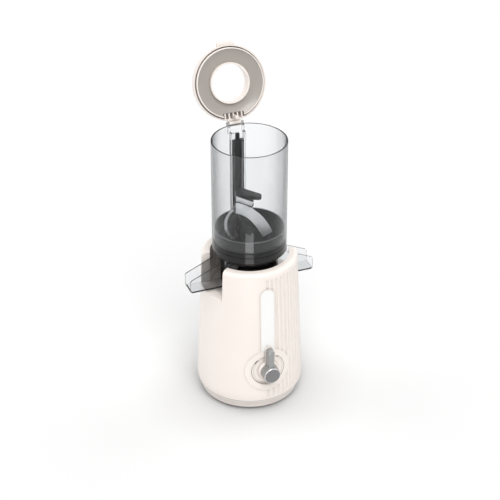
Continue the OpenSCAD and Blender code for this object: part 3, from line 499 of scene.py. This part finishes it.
class JuicerColours(bpy.types.PropertyGroup):
    """Colours of the juicer's finishes"""
    cream: colour_property("Cream plastic", "faf1ea")
    inlay: colour_property("White inlay", "fcfcfa")
    silver: colour_property("Silver coat", "a2a3a3")
    knob_face: colour_property("Knob's face", "7e7e7f")
    clear: colour_property("Clear plastic", "f9fafb")
    # This colour paints the shade on the clear plastic's edge-on walls.
    clear_edge_shade: colour_property("Clear plastic's edge", "8c8f92")
    smoke: colour_property("Smoked plastic", "18191a")
    dark: colour_property("Dark plastic", "111212")
    # The dish's grey-beige paints the shade on the lid's underside.
    beige: colour_property("Lid's dish", "a9a29b")
    rubber: colour_property("Rubber", "2a2a2b")
    silicone: colour_property("Silicone plug", "d98a68")
    red: colour_property("Switch's plunger", "b42a22")
    nylon: colour_property("Nylon gears", "e6e2d2")
    steel: colour_property("Steel", "c9cacc")
    copper: colour_property("Copper", "c07a4a")
    board: colour_property("Circuit board", "1f5a3a")
    # The marks' colour also paints the shadow in the dial's gap.
    ink: colour_property("Dial's marks", "4a4a4a")


def length_property(words, description, millimetres):
    return FloatProperty(name=words, description=description, unit="LENGTH", precision=5,
                         default=millimetres * MM)


def angle_property(words, description, degrees):
    return FloatProperty(name=words, description=description, subtype="ANGLE",
                         default=math.radians(degrees))


class JuicerSizes(bpy.types.PropertyGroup):
    """Sizes of the pieces modelled here"""
    lid_under: length_property("Lid's seat", "Height of the shut lid's lower edge", 461.3)
    lid_hole: length_property("Lid's hole", "Radius of the round opening in the lid", 30.0)
    hole_wall: length_property("Hole's wall", "Wall of the round opening", 2.55)
    lip_inset: length_property("Lip's inset", "From the cup's outside to the lip", 4.2)
    lip_wall: length_property("Lip's wall", "Thickness of the lip under the lid", 2.0)
    liner_cut: length_property("Hinge gap's start", "Where the dish is cut for the hinge", 47.0)
    liner_gap: length_property("Hinge gap's width", "Width cut from the dish for the hinge", 34.0)
    mark_radius: length_property("Marks' radius", "From the dial's middle to its marks", 27.0)
    gap_radius: length_property("Gap's radius", "From the dial's middle to the gap round it", 28.4)
    rim_radius: length_property("Knob's rim", "Radius of the edge about the knob's face", 13.1)
    bead_radius: length_property("Bead's radius", "Outside of the bead on the bowl's rim", 57.1)
    bead_wall: length_property("Bead's wall", "Width of the bead on the bowl's rim", 1.8)
    screw_turn: angle_property("Screw's turn", "Turn of the screw as it stands", -21.0)


class JuicerStage(bpy.types.PropertyGroup):
    """Camera and light"""
    pitch: angle_property("Pitch", "How far the camera looks down", 31.5)
    azimuth: angle_property("Azimuth", "How far the camera stands to the right of the front", -21.0)
    distance: FloatProperty(name="Distance", description="From the camera to its target",
                            unit="LENGTH", default=2.327)
    target_height: FloatProperty(name="Target height",
                                 description="Height of the point the camera looks at",
                                 unit="LENGTH", default=0.262)
    lens: FloatProperty(name="Lens", description="Focal length", unit="CAMERA", default=103.7)
    shift: FloatProperty(name="Shift", description="Sideways shift of the frame", default=0.0012)
    ambient: FloatProperty(name="Ambient", description="Strength of the room's even light",
                           default=0.5)
    key_power: FloatProperty(name="Key light", description="Strength of the front sun",
                             default=1.75)
    key_azimuth: angle_property("Key's side", "How far the front sun stands to the right", -12.0)
    key_height: angle_property("Key's height", "How high the front sun stands", 58.0)
    back_power: FloatProperty(name="Back light", description="Strength of each sun behind",
                              default=0.5)
    sun_width: angle_property("Suns' width", "How wide each soft sun is", 40.0)
    streak_power: FloatProperty(name="Streak", description="Power of the low strip",
                                unit="POWER", default=0.07)
    floor_lift: FloatProperty(name="Floor lift",
                              description="Light that the floor adds where it is seen directly",
                              default=0.075)


MADE = {}


def finish_named(make, context):
    """Each finish is made once."""
    if make not in MADE:
        MADE[make] = make(context.scene.juicer_colours)
    return MADE[make]


def dress(name, finish):
    """Gives a CAD node its finish."""
    data = CAD[name].data
    data.materials.clear()
    data.materials.append(finish.material)


def start():
    """Leaves edit mode and deselects everything."""
    if bpy.context.object and bpy.context.object.mode != "OBJECT":
        bpy.ops.object.mode_set(mode="OBJECT")
    bpy.ops.object.select_all(action="DESELECT")


def pick(obj):
    """Selects one object alone and makes it active."""
    start()
    obj.select_set(True)
    bpy.context.view_layer.objects.active = obj


def edit(obj, action):
    """Opens a mesh for editing, with all of it or nothing selected."""
    pick(obj)
    bpy.ops.object.mode_set(mode="EDIT")
    bpy.ops.mesh.select_all(action=action)


def into_mesh():
    """Keeps the selected object's place, turn and size in its mesh."""
    bpy.ops.object.transform_apply(location=True, rotation=True, scale=True)


def carry(obj, matrix):
    """Moves an object and keeps its new place in its mesh."""
    pick(obj)
    obj.matrix_world = matrix
    into_mesh()


def modify(obj, name, kind, **settings):
    """Adds a modifier and applies it."""
    modifier = obj.modifiers.new(name, kind)
    for key, value in settings.items():
        setattr(modifier, key, value)
    pick(obj)
    bpy.ops.object.modifier_apply(modifier=modifier.name)


def close_mesh():
    """Merges what coincides in the mesh being edited and turns its faces outwards."""
    bpy.ops.mesh.select_all(action="SELECT")
    bpy.ops.mesh.remove_doubles(threshold=MERGE_WITHIN)
    bpy.ops.mesh.normals_make_consistent(inside=False)
    bpy.ops.object.mode_set(mode="OBJECT")


def settle(obj, finish, body):
    """Closes a finished mesh: normals, shading, finish, and the body it rides on."""
    edit(obj, "SELECT")
    close_mesh()
    bpy.ops.object.shade_smooth_by_angle(angle=SMOOTH_BELOW)
    obj.data.materials.clear()
    obj.data.materials.append(finish.material)
    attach(obj, body)


def joint(name):
    return next(j for j in frame["joints"] if j["name"] == name)


def turned(name, profile, steps=128):
    """A closed ring turned about the Z axis: a circle is added and extruded along the profile.

    The profile is a list of (radius, height) in metres that runs round the ring's section.
    """
    start()
    radius, height = profile[0]
    bpy.ops.mesh.primitive_circle_add(vertices=steps, radius=radius, location=(0, 0, height))
    ring = bpy.context.object
    ring.name = ring.data.name = name
    into_mesh()
    edit(ring, "SELECT")
    for (r0, z0), (r1, z1) in zip(profile, profile[1:] + profile[:1]):
        bpy.ops.mesh.extrude_edges_move(TRANSFORM_OT_translate={"value": (0, 0, z1 - z0)})
        bpy.ops.transform.resize(value=(r1 / r0, r1 / r0, 1), center_override=(0, 0, 0))
    close_mesh()
    return ring


def arc(centre, radius, first, last, count):
    """Points of an arc in a section, by angles in degrees."""
    angles = [math.radians(first + (last - first) * i / count) for i in range(count + 1)]
    return [(centre[0] + radius * math.cos(a), centre[1] + radius * math.sin(a)) for a in angles]


def turn_by(rotation, centre):
    """Turns the selection about a point. With no window the operator turns the other way."""
    for axis, angle in zip("XYZ", rotation.to_euler("XYZ")):
        bpy.ops.transform.rotate(value=-angle, orient_axis=axis, center_override=centre)


def swept(name, width, thick, frames):
    """A bar pushed through frames: a plane is laid in the first and extruded to each next one.

    A frame is a place and a rotation that carries X to the bar's width and Y to its thickness.
    """
    start()
    bpy.ops.mesh.primitive_plane_add(size=1)
    bar = bpy.context.object
    bar.name = bar.data.name = name
    bar.scale = (width, thick, 1)
    into_mesh()
    edit(bar, "SELECT")
    turn_by(frames[0][1], (0, 0, 0))
    bpy.ops.transform.translate(value=frames[0][0])
    for (place, turn), (following, next_turn) in zip(frames, frames[1:]):
        bpy.ops.mesh.extrude_region_move(TRANSFORM_OT_translate={"value": following - place})
        turn_by(next_turn @ turn.inverted(), following)
    bpy.ops.object.mode_set(mode="OBJECT")
    return bar


def frame_of(side, out):
    """Rotation that carries X to side and Z to the way that side and out give."""
    side = side.normalized()
    along = side.cross(out).normalized()
    out = along.cross(side)
    return Matrix((side, out, along)).transposed().to_quaternion()


def rounded(obj, radius):
    """Rounds the sharp edges of a finished bar."""
    modify(obj, "soft_edges", "BEVEL", width=radius, segments=2,
           limit_method="ANGLE", angle_limit=ROUND_ABOVE)


def open_lid(obj):
    """Carries what is drawn on the closed lid to its place when open."""
    hinge = joint("lid_hinge")
    place = Matrix.Translation(Vector(hinge["pos_m"]))
    swing = Matrix.Rotation(-math.radians(hinge["range_deg"][1]), 4, Vector(hinge["axis"]))
    carry(obj, place @ swing @ place.inverted())


class JUICER_OT_finishes(bpy.types.Operator):
    """Give every node of the model its finish"""
    bl_idname = "juicer.finishes"
    bl_label = "Finishes"

    def execute(self, context):
        for make, names in FINISH_OF.items():
            for name in names:
                dress(name, finish_named(make, context))
        return {"FINISHED"}


class JUICER_OT_lid_dish(bpy.types.Operator):
    """Model the dish under the lid and the lip that enters the cup"""
    bl_idname = "juicer.lid_dish"
    bl_label = "Lid's dish"

    # Heights are counted from the lower edge of the shut lid.
    dish_low = -2.0 * MM
    dish_sink = 5.6 * MM
    dish_back = 4.4 * MM
    dish_steps = 24
    lip_low = -4.0 * MM
    lip_back = 4.6 * MM
    lip_steps = 10
    gap_depth = 40 * MM
    gap_height = 60 * MM

    def execute(self, context):
        sizes = context.scene.juicer_sizes
        under = sizes.lid_under
        lip_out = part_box("cup")[1].x - sizes.lip_inset
        lip_in = lip_out - sizes.lip_wall
        hole = sizes.lid_hole + sizes.hole_wall
        dish = turned("lid_dish", self.dish(hole, lip_in, under))
        lip = turned("lid_lip", self.lip(lip_in, lip_out, under))
        for piece, make, slot in (
                (dish, beige_plastic, "beige_plastic"), (lip, cream_plastic, "cream_plastic")):
            open_lid(piece)
            self.cut_back(piece, sizes)
            settle(piece, finish_named(make, context), "lid")
            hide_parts("lid_liner")
        return {"FINISHED"}

    def dish(self, hole, rim, under):
        """Section of a dish that sinks from the rim to the hole, closed behind."""
        trough = []
        for i in range(self.dish_steps + 1):
            t = i / self.dish_steps
            trough.append((hole + (rim - hole) * t,
                           under + self.dish_low + self.dish_sink * (1 - t ** 2)))
        return trough + [(rim, under + self.dish_back), (hole, under + self.dish_back)]

    def lip(self, inner, outer, under):
        """Section of the lip, whose round edge reaches into the cup's rim."""
        half = (outer - inner) / 2
        edge = arc((inner + half, under + self.lip_low + half), half, 180, 360, self.lip_steps)
        return edge + [(outer, under + self.lip_back), (inner, under + self.lip_back)]

    def cut_back(self, obj, sizes):
        """Takes away what lies beside the hinge, where the rod's rails need room."""
        start()
        bpy.ops.mesh.primitive_cube_add(size=1)
        block = bpy.context.object
        hinge = Vector(joint("lid_hinge")["pos_m"])
        block.scale = (sizes.liner_gap, self.gap_depth, self.gap_height)
        block.location = (0, sizes.liner_cut + self.gap_depth / 2, hinge.z)
        into_mesh()
        open_lid(block)
        modify(obj, "hinge_gap", "BOOLEAN", operation="DIFFERENCE", solver="EXACT", object=block)
        bpy.data.objects.remove(block)


class JUICER_OT_bowl_bead(bpy.types.Operator):
    """Model the rounded bead on the bowl's rim, painted light as a highlight"""
    bl_idname = "juicer.bowl_bead"
    bl_label = "Bowl's bead"

    sunk = 0.3 * MM
    round_steps = 8

    def execute(self, context):
        sizes = context.scene.juicer_sizes
        outside = sizes.bead_radius
        half = sizes.bead_wall / 2
        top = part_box("bowl")[1].z
        round_top = arc((outside - half, top), half, 0, 180, self.round_steps)
        foot = [(outside - 2 * half, top - self.sunk), (outside, top - self.sunk)]
        bead = turned("bowl_bead", round_top + foot)
        settle(bead, finish_named(bead_painted_highlight, context), "bowl")
        return {"FINISHED"}


class JUICER_OT_cutter(bpy.types.Operator):
    """Model the two silver blades on the screw's arm and the dark bars that carry them"""
    bl_idname = "juicer.cutter"
    bl_label = "Cutter"

    # Places are in millimetres, before the screw is turned to where it stands.
    foot = Vector((28.5, -10.0, 299.0))
    bend = Vector((8.0, -24.0, 350.0))
    tip = Vector((-21.0, -16.0, 350.2))
    leaf_ends = (Vector((-21.0, -9.6, 362.8)), Vector((5.0, -23.0, 360.5)))
    head_ends = (Vector((-17.0, 1.5, 356.0)), Vector((5.0, -12.5, 356.0)))
    leaf_slant = 25.0
    arm_behind = 6.0
    arm_sunk = 14.0

    # Width and thickness of each bar.
    ribbon_size = (19 * MM, 1.8 * MM)
    leaf_size = (8.5 * MM, 1.6 * MM)
    arm_size = (17 * MM, 12 * MM)
    head_size = (13 * MM, 8 * MM)
    blade_edge = 0.4 * MM
    bar_edge = 1.2 * MM

    # The ribbon's width lies across at its foot, leaning a little, and stands upright at its tip.
    across = Vector((0.79, 0.61, 0.0))
    first_lean = 10.0
    last_lean = 90.0
    steps = 20

    def execute(self, context):
        turn = Matrix.Rotation(context.scene.juicer_sizes.screw_turn, 3, "Z")
        blade = swept("cutter_ribbon", *self.ribbon_size, self.ribbon(turn))
        leaf = swept("cutter_leaf", *self.leaf_size,
                     self.straight(turn, *self.leaf_ends, self.leaf_slant))
        for piece in (blade, leaf):
            rounded(piece, self.blade_edge)
            settle(piece, finish_named(blade_steel, context), "drive")
            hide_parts("cutter_blade")
        arm = swept("screw_arm", *self.arm_size, self.arm(turn))
        head = swept("screw_head", *self.head_size, self.straight(turn, *self.head_ends))
        for piece in (arm, head):
            rounded(piece, self.bar_edge)
            settle(piece, finish_named(dark_plastic, context), "drive")
        return {"FINISHED"}

    def ribbon(self, turn, out_by=1.0):
        """Frames along a bent path, whose width turns from lying to upright."""
        frames = []
        for i in range(self.steps + 1):
            t = i / self.steps
            place = self.foot * (1 - t) ** 2 + self.bend * 2 * t * (1 - t) + self.tip * t * t
            way = (self.bend - self.foot) * (1 - t) + (self.tip - self.bend) * t
            rise = (self.last_lean - self.first_lean) * math.sin(math.pi / 2 * t)
            lean = math.radians(self.first_lean + rise)
            side = self.across * math.cos(lean) + Vector((0, 0, math.sin(lean)))
            out = side.cross(way).normalized()
            frames.append((turn @ (place + out * out_by) * MM, frame_of(turn @ side, turn @ out)))
        return frames

    def arm(self, turn):
        """Frames behind the ribbon's, with one more that sinks the arm's foot into the screw."""
        frames = self.ribbon(turn, -self.arm_behind)
        place, rotation = frames[0]
        return [(place - Vector((0, 0, self.arm_sunk * MM)), rotation)] + frames

    def straight(self, turn, first, last, slant=0.0):
        """Frames of a straight bar whose width stands upright, with its far end cut aslant."""
        up = Vector((0, 0, 1))
        out = up.cross(last - first).normalized()
        upright = frame_of(up, turn @ out)
        tilt = Matrix.Rotation(math.radians(slant), 3, turn @ out).to_quaternion()
        return [(turn @ first * MM, upright), (turn @ last * MM, tilt @ upright)]


class JUICER_OT_dial_marks(bpy.types.Operator):
    """Model the painted shadow in the gap round the dial, its printed marks and the bright edge of
    the knob, whose brightness is a painted highlight
    """
    bl_idname = "juicer.dial_marks"
    bl_label = "Dial's marks"

    # Each mark's name, and where it starts and how far it runs, in degrees.
    marks = (("mark_left", 128.0, 17.0), ("mark_top", 103.0, 3.5), ("mark_right", 47.0, 8.0))
    mark_width = 1.5 * MM
    mark_thick = 0.08 * MM
    mark_steps = 10
    gap_width = 0.5 * MM
    gap_thick = 0.2 * MM
    rim_half = 0.7 * MM
    rim_points = 24
    rim_steps = 96

    def execute(self, context):
        sizes = context.scene.juicer_sizes
        ink = finish_named(ink_and_gap_shadow, context)
        centre = self.front_of("dial_plate")
        # The dark ink also paints the shadow in the dial's gap.
        self.gap(centre, sizes.gap_radius, ink)
        self.knob_rim(sizes.rim_radius, finish_named(rim_painted_highlight, context))
        for name, angle, sweep in self.marks:
            self.mark(name, centre, sizes.mark_radius, angle, sweep, ink)
        return {"FINISHED"}

    def front_of(self, node):
        """Middle of the side of a CAD node's box that faces the front."""
        low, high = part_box(node)
        return Vector(((low.x + high.x) / 2, low.y, (low.z + high.z) / 2))

    def facing_front(self, ring, centre):
        """Turns a ring from the Z axis to face the front at a centre."""
        carry(ring, Matrix.Translation(centre) @ Matrix.Rotation(math.radians(90), 4, "X"))

    def gap(self, centre, radius, finish):
        """The painted shadow in the gap round the dial, a flat dark ring."""
        half = self.gap_thick / 2
        inner = radius - self.gap_width
        line = turned("dial_gap_shadow", [(inner, -half), (radius, -half), (radius, half), (inner, half)])
        self.facing_front(line, centre)
        settle(line, finish, "base")

    def knob_rim(self, radius, finish):
        """The bright round edge about the knob's face, a metal ring painted brighter than steel as
        a highlight.
        """
        last = 360 - 360 / self.rim_points
        section = arc((radius, 0), self.rim_half, 0, last, self.rim_points - 1)
        rim = turned("knob_rim", section, self.rim_steps)
        self.facing_front(rim, self.front_of("knob_face") + Vector((0, self.rim_half, 0)))
        settle(rim, finish, "knob")

    def mark(self, name, centre, radius, angle, sweep, finish):
        """A short arc of ink, spun from one edge and given a thickness."""
        start()
        bpy.ops.mesh.primitive_plane_add(
            size=self.mark_width, location=centre + Vector((radius, 0, 0)),
            rotation=(math.radians(90), 0, 0))
        mark = bpy.context.object
        mark.name = mark.data.name = name
        into_mesh()
        edit(mark, "DESELECT")
        bpy.ops.mesh.select_mode(type="VERT")
        bpy.ops.object.mode_set(mode="OBJECT")
        for v in mark.data.vertices:
            v.select = v.co.z < centre.z
        bpy.ops.object.mode_set(mode="EDIT")
        bpy.ops.mesh.delete(type="VERT")
        bpy.ops.mesh.select_all(action="SELECT")
        bpy.ops.mesh.spin(steps=self.mark_steps, angle=math.radians(sweep), center=centre,
                          axis=(0, 1, 0))
        place = Matrix.Translation(centre)
        carry(mark, place @ Matrix.Rotation(-math.radians(angle), 4, "Y") @ place.inverted())
        modify(mark, "ink", "SOLIDIFY", thickness=self.mark_thick, offset=0.0)
        settle(mark, finish, "base")


class JUICER_OT_stage(bpy.types.Operator):
    """Set up the floor, the lights and the camera"""
    bl_idname = "juicer.stage"
    bl_label = "Stage"

    # Lengths are in metres, and the sensor's width is in millimetres.
    sensor_width = 36.0
    sight_range = 50.0
    white = (1.0, 1.0, 1.0, 1.0)
    floor_size = 12.0
    floor_painted_shadow = (0.34, 0.34, 0.34)
    floor_open = (0.8, 0.8, 0.8)
    floor_reach = 0.12
    sun_distance = 3.0
    back_height = math.radians(42.0)
    back_left = math.radians(-125.0)
    back_right = math.radians(105.0)
    strip_distance = 0.36
    strip_height = 0.105
    strip_aim = 0.29
    strip_size = (0.15, 0.07)

    def execute(self, context):
        settings = context.scene.juicer_stage
        context.scene.view_settings.view_transform = "Standard"
        self.add_camera(context, settings)
        self.add_floor(settings)
        self.add_world(context, settings)
        self.add_suns(settings)
        self.add_strip(settings)
        return {"FINISHED"}

    def add_camera(self, context, settings):
        a, p = settings.azimuth, settings.pitch
        forward = Vector((-math.sin(a) * math.cos(p), math.cos(a) * math.cos(p), -math.sin(p)))
        place = Vector((0, 0, settings.target_height)) - forward * settings.distance
        bpy.ops.object.camera_add(
            location=place, rotation=forward.to_track_quat("-Z", "Y").to_euler())
        camera = context.object
        camera.name = "camera"
        camera.data.lens = settings.lens
        camera.data.sensor_width = self.sensor_width
        camera.data.shift_x = settings.shift
        camera.data.clip_end = self.sight_range
        context.scene.camera = camera

    def add_floor(self, settings):
        """A plain floor with a painted shadow that darkens it close to what stands on it."""
        start()
        bpy.ops.mesh.primitive_plane_add(size=self.floor_size, location=(0, 0, 0))
        floor = bpy.context.object
        floor.name = "floor"
        finish = Finish("pale_floor")
        finish.set(
            # Painted shadow: occlusion darkens the floor round what stands on it.
            Base_Color=finish.between(opaque(self.floor_painted_shadow), opaque(self.floor_open),
                                      finish.occlusion_for_painted_shade(self.floor_reach)),
            Roughness=0.9,
            Specular_IOR_Level=0.1,
            Emission_Color=self.white,
            Emission_Strength=finish.seen_directly() * settings.floor_lift)
        floor.data.materials.append(finish.material)

    def add_world(self, context, settings):
        """White where it is seen directly, and a dimmer, even light on things."""
        world = bpy.data.worlds.new("studio")
        context.scene.world = world
        world.use_nodes = True
        light = Nodes(world.node_tree)
        background = world.node_tree.nodes["Background"]
        light.feed(background.inputs["Color"], self.white)
        light.feed(background.inputs["Strength"],
                   light.seen_directly() * (1.0 - settings.ambient) + settings.ambient)

    def add_suns(self, settings):
        """Wide, soft suns, so that the floor is shaded on both sides of the base."""
        for name, turn, height, power in (
                ("key", settings.key_azimuth, settings.key_height, settings.key_power),
                ("back_left", self.back_left, self.back_height, settings.back_power),
                ("back_right", self.back_right, self.back_height, settings.back_power)):
            towards = Vector((math.sin(turn) * math.cos(height),
                              -math.cos(turn) * math.cos(height), math.sin(height)))
            bpy.ops.object.light_add(
                type="SUN", location=towards * self.sun_distance,
                rotation=towards.to_track_quat("Z", "Y").to_euler())
            lamp = bpy.context.object
            lamp.name = name
            lamp.data.angle = settings.sun_width
            lamp.data.energy = power

    def add_strip(self, settings):
        """A low strip below the camera that only gloss shows, as a streak on upright walls."""
        a = settings.azimuth
        place = Vector((self.strip_distance * math.sin(a), -self.strip_distance * math.cos(a),
                        self.strip_height))
        way = Vector((0, 0, self.strip_aim)) - place
        bpy.ops.object.light_add(
            type="AREA", location=place, rotation=way.to_track_quat("-Z", "Y").to_euler())
        strip = bpy.context.object
        strip.name = "streak"
        strip.data.shape = "RECTANGLE"
        strip.data.size, strip.data.size_y = self.strip_size
        strip.data.energy = settings.streak_power
        strip.visible_diffuse = False
        strip.visible_camera = False


class JUICER_PT_panel(bpy.types.Panel):
    """Colours and steps of the juicer"""
    bl_idname = "JUICER_PT_panel"
    bl_label = "Slow Juicer"
    bl_space_type = "VIEW_3D"
    bl_region_type = "UI"
    bl_category = "Juicer"

    def draw(self, context):
        for step in STEPS:
            self.layout.operator(step.bl_idname)
        scene = context.scene
        for group in (scene.juicer_colours, scene.juicer_sizes, scene.juicer_stage):
            box = self.layout.box()
            for name in group.__annotations__:
                box.prop(group, name)


STEPS = (JUICER_OT_finishes, JUICER_OT_lid_dish, JUICER_OT_bowl_bead, JUICER_OT_cutter,
         JUICER_OT_dial_marks, JUICER_OT_stage)
CLASSES = (JuicerColours, JuicerSizes, JuicerStage, *STEPS, JUICER_PT_panel)


def register():
    for cls in CLASSES:
        bpy.utils.register_class(cls)
    bpy.types.Scene.juicer_colours = PointerProperty(type=JuicerColours)
    bpy.types.Scene.juicer_sizes = PointerProperty(type=JuicerSizes)
    bpy.types.Scene.juicer_stage = PointerProperty(type=JuicerStage)


def unregister():
    del bpy.types.Scene.juicer_stage
    del bpy.types.Scene.juicer_sizes
    del bpy.types.Scene.juicer_colours
    for cls in reversed(CLASSES):
        bpy.utils.unregister_class(cls)


def main():
    register()
    for step in STEPS:
        group, name = step.bl_idname.split(".")
        getattr(getattr(bpy.ops, group), name)()
    bpy.context.view_layer.update()


if __name__ == "__main__":
    main()
